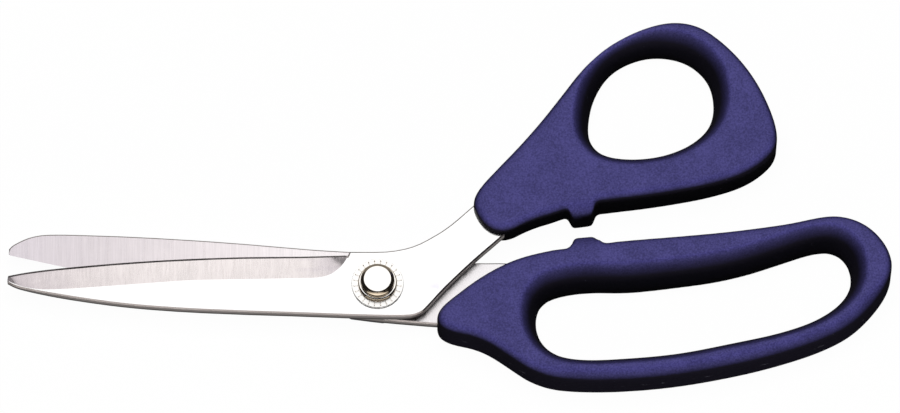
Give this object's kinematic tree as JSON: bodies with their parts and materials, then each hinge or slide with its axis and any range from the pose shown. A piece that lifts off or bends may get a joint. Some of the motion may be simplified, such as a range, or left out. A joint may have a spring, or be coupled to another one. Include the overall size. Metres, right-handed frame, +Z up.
{
  "type": "fabric shears",
  "caption": "Bent trimmer shears: two tapered steel blades on an adjustable pivot, a round thumb bow and a long finger bow in moulded plastic, with stop lugs.",
  "frame": {"origin": "on the pivot axis, at the rear face of the pivot bolt's head, which lies on the table with the rear faces of both bows", "axes": "+Z up from the table towards the pivot nut, along the pivot axis; +X from the pivot to the bows, with the blade tips at -X; +Y towards the thumb bow"},
  "size_m": [0.2541, 0.1094, 0.0155],
  "materials": {
    "polished_steel": "polished flats, fine cross-ground bevel",
    "brushed_steel": "ground across the blade",
    "moulded_plastic": "satin, fine moulded grain",
    "bright_nickel": "bright turned",
    "spring_steel": "plain"
  },
  "bodies": {
    "back_half": {"back_blade": "brushed_steel", "finger_handle": "moulded_plastic", "pivot_bolt": "bright_nickel", "spring_washer": "spring_steel", "serrated_washer": "polished_steel"},
    "front_half": {"front_blade": "polished_steel", "thumb_handle": "moulded_plastic"},
    "nut": {"pivot_nut": "bright_nickel"}
  },
  "joints": [
    {"name": "blade_pivot", "type": "hinge", "parent": "back_half", "child": "front_half", "pos_m": [0, 0, 0.0075], "axis": [0, 0, 1], "range_deg": [-4.6, 110]},
    {"name": "nut_adjust", "type": "hinge", "parent": "back_half", "child": "nut", "pos_m": [0, 0, 0.0118], "axis": [0, 0, 1], "range_deg": [-45, 45]}
  ]
}
